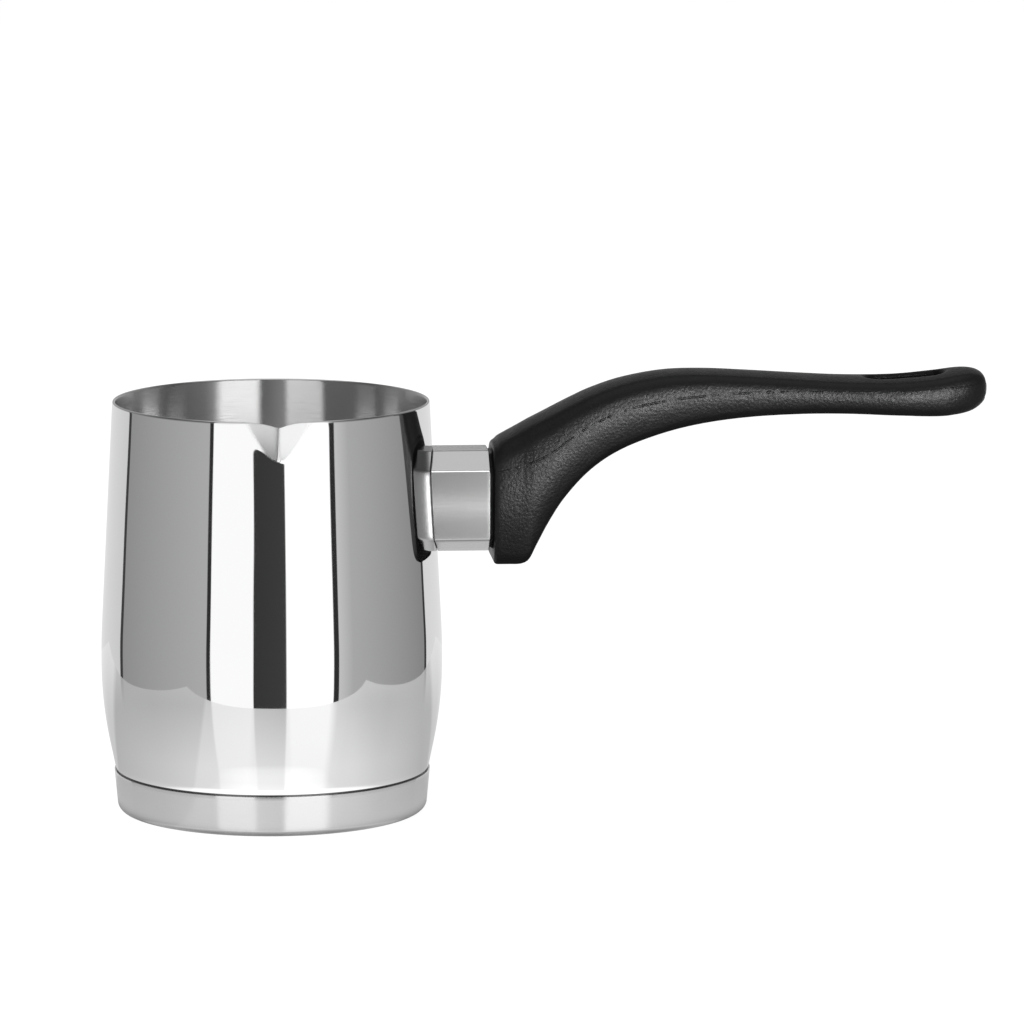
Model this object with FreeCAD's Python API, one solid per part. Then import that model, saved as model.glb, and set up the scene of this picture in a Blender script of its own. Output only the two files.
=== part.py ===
"""A candle melting pot: a barrel-shaped stainless pot with a pinched pouring lip, a sandwich base
and a screwed-on moulded handle behind a steel flame guard.

Millimetres, +Z up. The origin is the centre of the flat underside. The handle runs along +X and
the pouring lip points along -Y, a quarter turn from it.
"""

import FreeCAD, Part
import math
import os

from FreeCAD import Vector

OUT = "parts"
Z_AXIS = Vector(0, 0, 1)
X_AXIS = Vector(1, 0, 0)

# Pot shell: a straight upper wall, a round belly and a straight lower taper, all in one sheet.
POT_HEIGHT = 108.9
SHEET = 0.8
BELLY_R = 45.0
BELLY_TOP_Z = 41.0
BELLY_FOOT_Z = 39.5
UPPER_LEAN = math.radians(3.0)
UPPER_ARC_R = 180.0
LOWER_LEAN = math.radians(11.7)
LOWER_ARC_R = 105.0
FLOOR_Z = 5.2
FLOOR_CORNER_R = 5.0

# Pouring lip: a beak pinched out of the rim, deepest at the top and fading down the wall.
LIP_REACH = 5.5
LIP_DEPTH = 10.8
LIP_SPREAD_TOP = 3.2
LIP_SPREAD_FOOT = 1.2
LIP_CREASE = 0.25
LIP_TIP_SOFTNESS = 0.9
LIP_DROP = 0.75
LIP_HALF_SPAN = 12.0

# Sandwich base: an aluminium disc pressed between the pot's floor and a thin steel cap. An open
# groove in the shell shows above the cap's rim.
CAP_HEIGHT = 10.9
CAP_SHEET = 0.4
CAP_TOP_R = 41.75
JOINT_GROOVE_HEIGHT = 0.4
JOINT_GROOVE_R = 41.0
CAP_FOOT_R = 40.95
CAP_CORNER_R = 2.2
CAP_GROOVE_R = 30.0
CAP_GROOVE_HALF_WIDTH = 0.8
CAP_GROOVE_DEPTH = 0.25
DISC_TOP_Z = 7.6

# Flame guard: an eight-sided tube between the pot's wall and the handle.
GUARD_END_X = 57.1
GUARD_SHEET = 0.8
GUARD_TOP_Z = 95.6
GUARD_BOTTOM_Z = 69.2
GUARD_HALF_WIDTH = 11.0
GUARD_SIDE_BULGE = 0.5
GUARD_TOP_FLAT = 5.2
GUARD_BOTTOM_FLAT = 6.0
GUARD_TOP_BEVEL = 4.5
GUARD_BOTTOM_BEVEL = 3.6
GUARD_EDGE_R = 1.0
GUARD_LIP_ROUNDING = 0.3

# Handle joint: an M5 screw through the handle's root into a nut on a bracket welded to the wall.
SCREW_Z = (GUARD_TOP_Z + GUARD_BOTTOM_Z) / 2
SCREW_R = 2.5
SCREW_LENGTH = 25.0
SCREW_HEAD_R = 4.75
SCREW_HEAD_HEIGHT = 3.6
SCREW_HEAD_DOME = 1.4
SCREW_TIP_BEVEL = 0.8
RECESS_WIDTH = 1.2
RECESS_SPAN = 5.0
RECESS_DEPTH = 2.0
FLAT_WASHER = {"inner_r": 2.65, "outer_r": 5.0, "thick": 1.0}
SPRING_WASHER = {"inner_r": 2.6, "outer_r": 4.6, "thick": 1.2}
SPRING_WASHER_GAP = 0.9
HANDLE_SEAT_X = 68.0
HANDLE_HOLE_R = 2.8
HANDLE_COUNTERBORE_R = 5.4
NUT_ACROSS_FLATS = 8.0
NUT_THICK = 4.0
BRACKET_SHEET = 1.5
BRACKET_FACE_X = 51.0
BRACKET_HALF_WIDTH = 5.5
BRACKET_LEG_Z = 6.5
BRACKET_FOOT_Z = 10.5
BRACKET_HOLE_R = 2.7
SPIGOT_LENGTH = 5.0
SPIGOT_CLEARANCE = 0.2

# Handle: stations along the grip, each (top x, top z, underside x, underside z, half width,
# shoulder radius, lower corner radius).
HANDLE_STATIONS = [
    (58.0, 97.7, 58.0, 65.8, 11.8, 6.8, 4.0),
    (62.0, 99.9, 62.0, 65.8, 11.8, 6.8, 4.0),
    (65.5, 101.8, 65.3, 65.9, 11.7, 6.8, 3.8),
    (68.0, 103.2, 67.4, 67.1, 11.7, 6.7, 3.6),
    (71.0, 104.7, 69.3, 70.8, 11.6, 6.5, 3.4),
    (75.3, 106.9, 72.7, 77.2, 11.4, 6.2, 3.3),
    (79.5, 109.0, 77.0, 83.7, 11.2, 5.9, 3.2),
    (84.8, 111.4, 83.6, 90.7, 10.9, 5.5, 3.1),
    (92.7, 114.0, 91.6, 95.9, 10.4, 5.0, 3.0),
    (103.3, 115.9, 102.2, 99.9, 9.8, 4.5, 2.9),
    (113.9, 116.2, 113.2, 102.5, 9.4, 4.0, 2.9),
    (126.0, 115.6, 126.0, 104.1, 9.2, 3.6, 2.8),
    (140.0, 114.7, 140.0, 104.8, 9.4, 3.3, 2.7),
    (152.0, 114.1, 152.0, 104.8, 10.0, 3.2, 2.7),
    (165.0, 114.1, 165.0, 104.3, 10.8, 3.2, 2.8),
    (175.5, 115.0, 175.5, 104.0, 10.8, 3.4, 3.0),
    (181.6, 115.8, 181.2, 104.4, 9.7, 3.5, 3.1),
    (185.4, 115.8, 184.9, 105.2, 8.2, 3.2, 2.9),
    (187.9, 114.9, 187.4, 106.5, 6.3, 2.6, 2.4),
    (189.4, 113.0, 189.2, 108.3, 4.0, 1.6, 1.4),
]
HANDLE_CROWN_ANGLE = 13.0
HANDLE_SIDE_ANGLE = 13.0
ROOT_EDGE_R = 1.0
TIP_EDGE_R = 1.0
SLOT_START_X = 157.2
SLOT_END_X = 178.2
SLOT_HALF_WIDTH = 4.2


def upright(radius, height):
    """A point of a profile that is turned about the pot's axis."""
    return Vector(radius, 0, height)


def edge(*points):
    """A straight edge between two points, or an arc through three."""
    if len(points) == 2:
        return Part.LineSegment(*points).toShape()
    return Part.Arc(*points).toShape()


def turned(edges):
    """The solid that a closed profile makes when it is turned about the pot's axis."""
    face = Part.Face(Part.Wire(edges))
    return face.revolve(Vector(0, 0, 0), Z_AXIS, 360)


def on_circle(centre, radius, angle):
    """A point of a profile, an angle above the outward direction from an arc's centre."""
    return centre + Vector(radius * math.cos(angle), 0, radius * math.sin(angle))


def pot_solid(inset):
    """The pot as a full solid, with every wall moved inwards by inset."""
    upper_r, lower_r = UPPER_ARC_R - inset, LOWER_ARC_R - inset
    upper_centre = upright(BELLY_R - UPPER_ARC_R, BELLY_TOP_Z)
    lower_centre = upright(BELLY_R - LOWER_ARC_R, BELLY_FOOT_Z)
    belly_top = upright(BELLY_R - inset, BELLY_TOP_Z)
    belly_foot = upright(BELLY_R - inset, BELLY_FOOT_Z)
    upper = on_circle(upper_centre, upper_r, UPPER_LEAN)
    lower = on_circle(lower_centre, lower_r, -LOWER_LEAN)
    rim = upright(upper.x - (POT_HEIGHT - upper.z) * math.tan(UPPER_LEAN), POT_HEIGHT)

    corner_r = FLOOR_CORNER_R - inset
    floor_z = FLOOR_Z + inset
    outward = Vector(math.cos(LOWER_LEAN), 0, -math.sin(LOWER_LEAN))
    drop = (floor_z + corner_r - lower.z) * math.sin(LOWER_LEAN)
    corner = upright(lower.x + (drop - corner_r) / math.cos(LOWER_LEAN), floor_z + corner_r)
    corner_end = corner + outward * corner_r
    corner_middle = on_circle(corner, corner_r, -(math.pi / 2 + LOWER_LEAN) / 2)
    floor_edge = upright(corner.x, floor_z)
    return turned([
        edge(upright(0, floor_z), floor_edge),
        edge(floor_edge, corner_middle, corner_end),
        edge(corner_end, lower),
        edge(lower, on_circle(lower_centre, lower_r, -LOWER_LEAN / 2), belly_foot),
        edge(belly_foot, belly_top),
        edge(belly_top, on_circle(upper_centre, upper_r, UPPER_LEAN / 2), upper),
        edge(upper, rim),
        edge(rim, upright(0, POT_HEIGHT)),
        edge(upright(0, POT_HEIGHT), upright(0, floor_z)),
    ])


def wall_radius(height):
    """The outer radius of the straight upper wall at a height."""
    start = BELLY_R - UPPER_ARC_R * (1 - math.cos(UPPER_LEAN))
    start_z = BELLY_TOP_Z + UPPER_ARC_R * math.sin(UPPER_LEAN)
    return start - (height - start_z) * math.tan(UPPER_LEAN)


def lip_reach(across, height):
    """How far the beak stands out of the wall, at a distance across it and a height."""
    rise = (height - (POT_HEIGHT - LIP_DEPTH)) / LIP_DEPTH
    spread = LIP_SPREAD_FOOT + (LIP_SPREAD_TOP - LIP_SPREAD_FOOT) * max(rise, 0)
    soft = math.sqrt(across ** 2 + LIP_TIP_SOFTNESS ** 2) - LIP_TIP_SOFTNESS
    return LIP_REACH * rise * math.exp(-soft / spread) - LIP_CREASE


def lip_solid(inset):
    """The beak's bulge beyond the wall, with its outside moved inwards by inset."""
    sections = []
    levels = 5
    foot = POT_HEIGHT - LIP_DEPTH + 0.3
    for level in range(levels):
        height = foot + (POT_HEIGHT - foot) * level / (levels - 1)
        outline = []
        steps = 12
        for step in range(-steps, steps + 1):
            across = LIP_HALF_SPAN * (step / steps) * abs(step / steps)
            wall = math.sqrt(wall_radius(height) ** 2 - across ** 2)
            outline.append(Vector(across, -(wall + lip_reach(across, height) - inset), height))
        curve = Part.BSplineCurve()
        curve.interpolate(outline)
        back_y = -(wall_radius(height) - 8)
        back = [Vector(LIP_HALF_SPAN, back_y, height), Vector(-LIP_HALF_SPAN, back_y, height)]
        sections.append(Part.Wire([
            curve.toShape(),
            edge(outline[-1], back[0]),
            edge(back[0], back[1]),
            edge(back[1], outline[0]),
        ]))
    return Part.makeLoft(sections, True)


def lip_trim():
    """The wedge cut off the beak's top, so that its tip dips a little below the rim."""
    start_y = -(wall_radius(POT_HEIGHT) + 0.2)
    tip_y = start_y - LIP_REACH - 2
    slope = LIP_DROP / LIP_REACH
    corners = [
        Vector(-LIP_HALF_SPAN, start_y, POT_HEIGHT),
        Vector(-LIP_HALF_SPAN, tip_y, POT_HEIGHT + slope * (tip_y - start_y)),
        Vector(-LIP_HALF_SPAN, tip_y, POT_HEIGHT + 1),
        Vector(-LIP_HALF_SPAN, start_y, POT_HEIGHT + 1),
    ]
    face = Part.Face(Part.makePolygon(corners + corners[:1]))
    return face.extrude(X_AXIS * 2 * LIP_HALF_SPAN)


def joint_groove():
    """The ring cut out of the shell's outside just above the base cap."""
    foot = Vector(0, 0, CAP_HEIGHT)
    around = Part.makeCylinder(BELLY_R, JOINT_GROOVE_HEIGHT, foot)
    return around.cut(Part.makeCylinder(JOINT_GROOVE_R, JOINT_GROOVE_HEIGHT, foot))


def pot_shell():
    """The drawn pot with its pouring lip, open at the top."""
    outer = pot_solid(0).fuse(lip_solid(0))
    inner = pot_solid(SHEET).fuse(lip_solid(SHEET))
    return outer.cut(inner).cut(lip_trim()).cut(joint_groove())


def base_cap():
    """The steel cup under the pot, with a stamped ring in its flat underside."""
    def outline(inset, top):
        corner = upright(CAP_FOOT_R - CAP_CORNER_R, CAP_CORNER_R)
        corner_r = CAP_CORNER_R - inset
        foot = on_circle(corner, corner_r, -math.pi / 2)
        side = on_circle(corner, corner_r, 0)
        middle = on_circle(corner, corner_r, -math.pi / 4)
        lip = upright(CAP_TOP_R - inset, top)
        return [
            edge(upright(0, inset), foot),
            edge(foot, middle, side),
            edge(side, lip),
            edge(lip, upright(0, top)),
            edge(upright(0, top), upright(0, inset)),
        ]

    cup = turned(outline(0, CAP_HEIGHT))
    hollow = turned(outline(CAP_SHEET, CAP_HEIGHT))
    groove = Part.makeTorus(CAP_GROOVE_R, CAP_GROOVE_HALF_WIDTH)
    groove.translate(Vector(0, 0, CAP_GROOVE_DEPTH - CAP_GROOVE_HALF_WIDTH))
    return cup.cut(hollow).cut(groove), hollow


def heat_spreader(cap_hollow, pot):
    """The aluminium disc, which fills the cap below the pot's floor."""
    below = Part.makeCylinder(BELLY_R, DISC_TOP_Z)
    return cap_hollow.common(below).cut(pot)


def guard_section(x, grow=0.0):
    """The flame guard's closed outline in the plane at x, moved outwards by grow."""
    def at(y, z):
        return Vector(x, y, z)

    top_z, bottom_z = GUARD_TOP_Z, GUARD_BOTTOM_Z
    high, low = top_z - GUARD_TOP_BEVEL, bottom_z + GUARD_BOTTOM_BEVEL
    side = GUARD_HALF_WIDTH
    right = [at(GUARD_TOP_FLAT, top_z), at(side, high), at(side, low), at(GUARD_BOTTOM_FLAT, bottom_z)]
    left = [at(-p.y, p.z) for p in reversed(right)]
    bulge = side + GUARD_SIDE_BULGE
    middle_z = (high + low) / 2
    edges = [
        edge(right[0], right[1]),
        edge(right[1], at(bulge, middle_z), right[2]),
        edge(right[2], right[3]),
        edge(right[3], left[0]),
        edge(left[0], left[1]),
        edge(left[1], at(-bulge, middle_z), left[2]),
        edge(left[2], left[3]),
        edge(left[3], right[0]),
    ]
    wire = Part.Wire(edges)
    return wire.makeOffset2D(grow) if grow else wire


def along_x(wire, length):
    """The prism of a closed outline along +X."""
    return Part.Face(wire).extrude(X_AXIS * length)


def rounded_along_x(solid, radius):
    """The solid with its edges along X rounded."""
    picked = []
    for one in solid.Edges:
        ends = [vertex.Point for vertex in one.Vertexes]
        if len(ends) == 2 and abs(ends[0].x - ends[1].x) > 1:
            picked.append(one)
    return solid.makeFillet(radius, picked)


def flame_guard(pot):
    """The tube that stands on the pot's wall and carries the handle's root."""
    start_x = BELLY_R - 10
    length = GUARD_END_X - start_x
    outer = rounded_along_x(along_x(guard_section(start_x), length), GUARD_EDGE_R)
    end_face = max(outer.Faces, key=lambda face: face.CenterOfMass.x)
    outer = outer.makeFillet(GUARD_LIP_ROUNDING, end_face.Edges)
    bore = along_x(guard_section(start_x, -GUARD_SHEET), length)
    return outer.cut(bore).cut(pot)


def round_bar(radius, start_x, end_x):
    """A cylinder on the screw's axis."""
    return Part.makeCylinder(radius, end_x - start_x, Vector(start_x, 0, SCREW_Z), X_AXIS)


def bracket(pot):
    """The hat-shaped strap that is spot-welded to the wall inside the flame guard."""
    def box(low_z, high_z, start_x, end_x):
        size = (end_x - start_x, 2 * BRACKET_HALF_WIDTH, high_z - low_z)
        return Part.makeBox(*size, Vector(start_x, -BRACKET_HALF_WIDTH, SCREW_Z + low_z))

    wall_x = BELLY_R - 6
    hat = box(-BRACKET_LEG_Z, BRACKET_LEG_Z, wall_x, BRACKET_FACE_X)
    inner = BRACKET_LEG_Z - BRACKET_SHEET
    hat = hat.cut(box(-inner, inner, wall_x, BRACKET_FACE_X - BRACKET_SHEET))
    skin = pot_solid(-BRACKET_SHEET)
    feet = box(-BRACKET_FOOT_Z, BRACKET_FOOT_Z, wall_x, BRACKET_FACE_X).common(skin)
    feet = feet.cut(box(-inner, inner, wall_x, BRACKET_FACE_X))
    hole = round_bar(BRACKET_HOLE_R, wall_x, BRACKET_FACE_X + 1)
    return hat.fuse(feet).cut(pot).cut(hole).removeSplitter()


def bracket_nut():
    """The hexagon nut welded behind the bracket's face."""
    start_x = BRACKET_FACE_X - BRACKET_SHEET - NUT_THICK
    corner_r = NUT_ACROSS_FLATS / math.sqrt(3)
    corners = []
    for corner in range(7):
        angle = math.radians(60 * corner)
        corners.append(Vector(start_x, corner_r * math.sin(angle), SCREW_Z + corner_r * math.cos(angle)))
    hexagon = along_x(Part.makePolygon(corners), NUT_THICK)
    return hexagon.cut(round_bar(SCREW_R, start_x - 1, start_x + NUT_THICK + 1))


def washer_seats():
    """Where the flat washer, the spring washer and the screw's head start along X."""
    spring_x = HANDLE_SEAT_X + FLAT_WASHER["thick"]
    return HANDLE_SEAT_X, spring_x, spring_x + SPRING_WASHER["thick"]


def washer(size, start_x):
    """A plain ring on the screw's axis."""
    end_x = start_x + size["thick"]
    return round_bar(size["outer_r"], start_x, end_x).cut(round_bar(size["inner_r"], start_x, end_x))


def spring_washer(start_x):
    """A split ring, cut through at a slant."""
    ring = washer(SPRING_WASHER, start_x)
    gap = Part.makeBox(4 * SPRING_WASHER["thick"], SPRING_WASHER_GAP, SPRING_WASHER["outer_r"] + 1)
    gap.translate(Vector(-2 * SPRING_WASHER["thick"], -SPRING_WASHER_GAP / 2, 0))
    gap.rotate(Vector(0, 0, 0), Z_AXIS, 25)
    gap.translate(Vector(start_x + SPRING_WASHER["thick"] / 2, 0, SCREW_Z))
    return ring.cut(gap)


def screw(head_x):
    """The pan-head machine screw, with a cross recess."""
    shank = round_bar(SCREW_R, head_x - SCREW_LENGTH, head_x)
    tip = min(shank.Faces, key=lambda face: face.CenterOfMass.x)
    shank = shank.makeChamfer(SCREW_TIP_BEVEL, tip.Edges)
    head = round_bar(SCREW_HEAD_R, head_x, head_x + SCREW_HEAD_HEIGHT)
    crown = max(head.Faces, key=lambda face: face.CenterOfMass.x)
    head = head.makeFillet(SCREW_HEAD_DOME, crown.Edges)
    solid = head.fuse(shank).removeSplitter()
    for width, span in ((RECESS_WIDTH, RECESS_SPAN), (RECESS_SPAN, RECESS_WIDTH)):
        corner = Vector(head_x + SCREW_HEAD_HEIGHT - RECESS_DEPTH, -width / 2, SCREW_Z - span / 2)
        solid = solid.cut(Part.makeBox(RECESS_DEPTH + 1, width, span, corner))
    return solid


def handle_section(top_x, top_z, under_x, under_z, half_width, shoulder_r, corner_r):
    """One closed outline of the handle: crowned top, round shoulders, full sides, flat underside."""
    top, under = Vector(top_x, 0, top_z), Vector(under_x, 0, under_z)
    middle, half_up = (top + under) * 0.5, (top - under).Length / 2
    up = (top - under).normalize()
    crown, full = math.radians(HANDLE_CROWN_ANGLE), math.radians(HANDLE_SIDE_ANGLE)

    def at(across, along):
        return middle + up * along + Vector(0, across, 0)

    def on_shoulder(angle):
        return at(shoulder_y + shoulder_r * math.cos(angle), shoulder + shoulder_r * math.sin(angle))

    def on_corner(angle):
        return at(corner_y + corner_r * math.cos(angle), corner - corner_r * math.sin(angle))

    def mirrored(point):
        return Vector(point.x, -point.y, point.z)

    shoulder_y = half_width - shoulder_r * math.cos(full)
    corner_y = half_width - corner_r * math.cos(full)
    crown_rise = math.tan(crown / 2) * (shoulder_y + shoulder_r * math.sin(crown))
    shoulder = half_up - crown_rise - shoulder_r * math.cos(crown)
    corner = corner_r - half_up
    high = shoulder + shoulder_r * math.sin(full)
    low = corner - corner_r * math.sin(full)
    bulge = at(half_width + math.tan(full / 2) * (high - low) / 2, (high + low) / 2)
    right = [
        (on_shoulder(math.pi / 2 - crown), on_shoulder((math.pi / 2 - crown + full) / 2)),
        (on_shoulder(full), bulge),
        (on_corner(full), on_corner((math.pi / 2 + full) / 2)),
    ]
    ends = [start for start, mid in right] + [at(corner_y, -half_up)]
    mids = [mid for start, mid in right]
    outline = [edge(mirrored(ends[0]), at(0, half_up), ends[0])]
    outline += [edge(a, mid, b) for a, mid, b in zip(ends, mids, ends[1:])]
    outline.append(edge(ends[-1], mirrored(ends[-1])))
    back = list(zip(ends, mids, ends[1:]))[::-1]
    outline += [edge(mirrored(b), mirrored(mid), mirrored(a)) for a, mid, b in back]
    return Part.Wire(outline)


def slot_cutter():
    """The upright stadium-shaped bar that cuts the hanging slot."""
    r = SLOT_HALF_WIDTH
    low_x, high_x, z = SLOT_START_X + r, SLOT_END_X - r, HANDLE_STATIONS[0][3]
    wire = Part.Wire([
        edge(Vector(low_x, -r, z), Vector(high_x, -r, z)),
        edge(Vector(high_x, -r, z), Vector(high_x + r, 0, z), Vector(high_x, r, z)),
        edge(Vector(high_x, r, z), Vector(low_x, r, z)),
        edge(Vector(low_x, r, z), Vector(low_x - r, 0, z), Vector(low_x, -r, z)),
    ])
    return Part.Face(wire).extrude(Z_AXIS * 2 * POT_HEIGHT)


def handle():
    """The moulded handle, with its spigot, screw hole and hanging slot."""
    grip = Part.makeLoft([handle_section(*station) for station in HANDLE_STATIONS], True)
    root_face = min(grip.Faces, key=lambda face: face.CenterOfMass.x)
    tip_face = max(grip.Faces, key=lambda face: face.CenterOfMass.x)
    grip = grip.makeFillet(ROOT_EDGE_R, root_face.Edges)
    grip = grip.makeFillet(TIP_EDGE_R, tip_face.Edges)
    spigot_x = GUARD_END_X - SPIGOT_LENGTH
    spigot_length = HANDLE_STATIONS[0][0] + 1 - spigot_x
    spigot = along_x(guard_section(spigot_x, -GUARD_SHEET - SPIGOT_CLEARANCE), spigot_length)
    grip = grip.fuse(spigot).cut(slot_cutter())
    grip = grip.cut(round_bar(HANDLE_HOLE_R, spigot_x - 1, HANDLE_SEAT_X + 1))
    return grip.cut(round_bar(HANDLE_COUNTERBORE_R, HANDLE_SEAT_X, HANDLE_SEAT_X + 30))


def save(name, shape):
    """Writes one node as STEP, after a look at its solids."""
    solids = shape.Solids
    for solid in solids:
        if not solid.isValid() or solid.Volume <= 0:
            raise ValueError(f"{name} has a bad solid")
    kept = solids[0] if len(solids) == 1 else Part.makeCompound(solids)
    kept.exportStep(os.path.join(OUT, f"{name}.step"))
    print(f"{name}: {len(solids)} solid, {kept.Volume / 1000:.2f} cm3")


def main():
    os.makedirs(OUT, exist_ok=True)
    pot = pot_solid(0)
    cap, cap_hollow = base_cap()
    flat_x, spring_x, head_x = washer_seats()
    save("pot_shell", pot_shell())
    save("heat_spreader_disc", heat_spreader(cap_hollow, pot))
    save("base_cap", cap)
    save("handle_bracket", bracket(pot))
    save("bracket_nut", bracket_nut())
    save("flame_guard_sleeve", flame_guard(pot))
    save("handle_grip", handle())
    save("flat_washer", washer(FLAT_WASHER, flat_x))
    save("spring_washer", spring_washer(spring_x))
    save("handle_screw", screw(head_x))


main()
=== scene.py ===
"""Looks of the candle melting pot: mirror-polished shell, brushed base, satin flame guard and
grained black handle, on a pale table in a soft studio. Metres, in the CAD model's own frame."""

import math

import bmesh
import bpy
from mathutils import Matrix, Vector


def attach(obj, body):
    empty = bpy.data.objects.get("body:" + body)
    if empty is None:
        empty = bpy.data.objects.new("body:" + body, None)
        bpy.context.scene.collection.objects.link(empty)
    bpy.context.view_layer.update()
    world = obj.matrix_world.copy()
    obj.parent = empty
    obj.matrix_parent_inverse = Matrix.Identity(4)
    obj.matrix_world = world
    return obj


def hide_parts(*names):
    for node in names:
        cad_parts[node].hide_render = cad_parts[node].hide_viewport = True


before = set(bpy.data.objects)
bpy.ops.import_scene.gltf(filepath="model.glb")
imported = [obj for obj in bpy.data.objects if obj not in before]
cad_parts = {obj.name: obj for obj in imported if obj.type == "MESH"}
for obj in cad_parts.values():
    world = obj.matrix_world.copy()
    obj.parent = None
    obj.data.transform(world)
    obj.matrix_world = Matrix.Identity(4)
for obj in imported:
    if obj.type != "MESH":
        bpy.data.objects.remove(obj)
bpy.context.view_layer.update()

MM = 0.001
BODY = "root"

# The pot's own sizes, in millimetres, as the CAD model has them.
POT_HEIGHT = 108.9
SHEET = 0.8
BELLY_R = 45.0
BELLY_TOP_Z = 41.0
BELLY_FOOT_Z = 39.5
UPPER_LEAN = math.radians(3.0)
UPPER_ARC_R = 180.0
LOWER_LEAN = math.radians(11.7)
LOWER_ARC_R = 105.0
FLOOR_Z = 5.2
FLOOR_CORNER_R = 5.0
JOINT_FOOT_Z = 10.9
JOINT_TOP_Z = 11.3
JOINT_R = 41.0
CAP_SHEET = 0.4
CAP_TOP_R = 41.75
CAP_FOOT_R = 40.95
CAP_CORNER_R = 2.2
CAP_GROOVE_R = 30.0
CAP_GROOVE_DEPTH = 0.25
CAP_GROOVE_CURVE = 0.8
CAP_GROOVE_EDGE = math.radians(43.5)
GUARD_END_X = 57.1
GUARD_SHEET = 0.8
GUARD_WALL_GAP = 0.15
GUARD_TOP_Z = 95.6
GUARD_BOTTOM_Z = 69.2
GUARD_HALF_WIDTH = 11.0
GUARD_SIDE_BULGE = 0.5
GUARD_TOP_FLAT = 5.2
GUARD_BOTTOM_FLAT = 6.0
GUARD_TOP_BEVEL = 4.5
GUARD_BOTTOM_BEVEL = 3.6
SCREW_Z = (GUARD_TOP_Z + GUARD_BOTTOM_Z) / 2

# The pouring lip's shape.
LIP_REACH = 5.33
LIP_DEPTH = 10.8
LIP_SPREAD_TOP = 3.2
LIP_SPREAD_FOOT = 1.2
LIP_CREASE = 0.25
LIP_TIP_SOFTNESS = 0.9
LIP_DROP = 0.75
LIP_BLEND = 0.2

# Handle stations: top x, top z, underside x, underside z, half width, shoulder and corner radius.
HANDLE_STATIONS = [
    (58.0, 97.7, 58.0, 65.8, 11.8, 6.8, 4.0),
    (62.0, 99.9, 62.0, 65.8, 11.8, 6.8, 4.0),
    (65.5, 101.8, 65.3, 65.9, 11.7, 6.8, 3.8),
    (68.0, 103.2, 67.4, 67.1, 11.7, 6.7, 3.6),
    (71.0, 104.7, 69.3, 70.8, 11.6, 6.5, 3.4),
    (75.3, 106.9, 72.7, 77.2, 11.4, 6.2, 3.3),
    (79.5, 109.0, 77.0, 83.7, 11.2, 5.9, 3.2),
    (84.8, 111.4, 83.6, 90.7, 10.9, 5.5, 3.1),
    (92.7, 114.0, 91.6, 95.9, 10.4, 5.0, 3.0),
    (103.3, 115.9, 102.2, 99.9, 9.8, 4.5, 2.9),
    (113.9, 116.2, 113.2, 102.5, 9.4, 4.0, 2.9),
    (126.0, 115.6, 126.0, 104.1, 9.2, 3.6, 2.8),
    (140.0, 114.7, 140.0, 104.8, 9.4, 3.3, 2.7),
    (152.0, 114.1, 152.0, 104.8, 10.0, 3.2, 2.7),
    (165.0, 114.1, 165.0, 104.3, 10.8, 3.2, 2.8),
    (175.5, 115.0, 175.5, 104.0, 10.8, 3.4, 3.0),
    (181.6, 115.8, 181.2, 104.4, 9.7, 3.5, 3.1),
    (185.4, 115.8, 184.9, 105.2, 8.2, 3.2, 2.9),
    (187.9, 114.9, 187.4, 106.5, 6.3, 2.6, 2.4),
    (189.4, 113.0, 189.2, 108.3, 4.0, 1.6, 1.4),
]
HANDLE_CROWN_ANGLE = math.radians(13)
HANDLE_SIDE_ANGLE = math.radians(13)
HANDLE_STEPS = 6
HANDLE_EDGE_R = 1.0
SPIGOT_LENGTH = 5.0
SPIGOT_CLEARANCE = 0.2
SCREW_HOLE_R = 2.8
COUNTERBORE_R = 5.4
COUNTERBORE_START_X = 68
SKIN_VOXEL = 0.42
# How far down the handle's side the mould's parting line runs, as a share of the height, by x.
PARTING_DEPTH = [(58, 0.22), (78, 0.38), (110, 0.45), (160, 0.32), (190, 0.32)]
PARTING_START_X, PARTING_END_X = 60, 188
# The hanging slot, and how its mouths are rounded: the flare, and how far the rounding sinks.
SLOT_START_X = 157.2
SLOT_END_X = 178.2
SLOT_HALF_WIDTH = 4.2
SLOT_FLARE = 1.1
SLOT_LIP_DROP = 0.25

# How much the brushed inside catches the light from above.
INSIDE_LEAN = 0.26
# How the stretched flanks of the lip mirror: how nearly like the round wall, how dull, and the
# upward lean of that wall just below the rim.
LIP_FLANK_EASE = 0.8
LIP_FLANK_ROUGHNESS = 0.28
WALL_LEAN = 0.045

# Camera: azimuth, elevation and roll in degrees, distance and target in metres.
CAMERA_AZIMUTH = -4.64
CAMERA_ELEVATION = 8.98
CAMERA_ROLL = 0.12
CAMERA_DISTANCE = 1.75
CAMERA_TARGET = Vector((0.0636, 0.0, 0.0784))
CAMERA_LENS = 232.8
CAMERA_SENSOR = 36.0


# ---------------------------------------------------------------- shapes

def lip_bulge(across, height):
    """How far the pouring lip stands out of the wall, in mm."""
    rise = (height - (POT_HEIGHT - LIP_DEPTH)) / LIP_DEPTH
    spread = LIP_SPREAD_FOOT + (LIP_SPREAD_TOP - LIP_SPREAD_FOOT) * max(rise, 0.0)
    soft = math.sqrt(across ** 2 + LIP_TIP_SOFTNESS ** 2) - LIP_TIP_SOFTNESS
    reach = LIP_REACH * rise * math.exp(-soft / spread) - LIP_CREASE
    if reach <= -LIP_BLEND:
        return 0.0
    if reach < LIP_BLEND:
        return (reach + LIP_BLEND) ** 2 / (4 * LIP_BLEND)
    return reach


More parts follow.
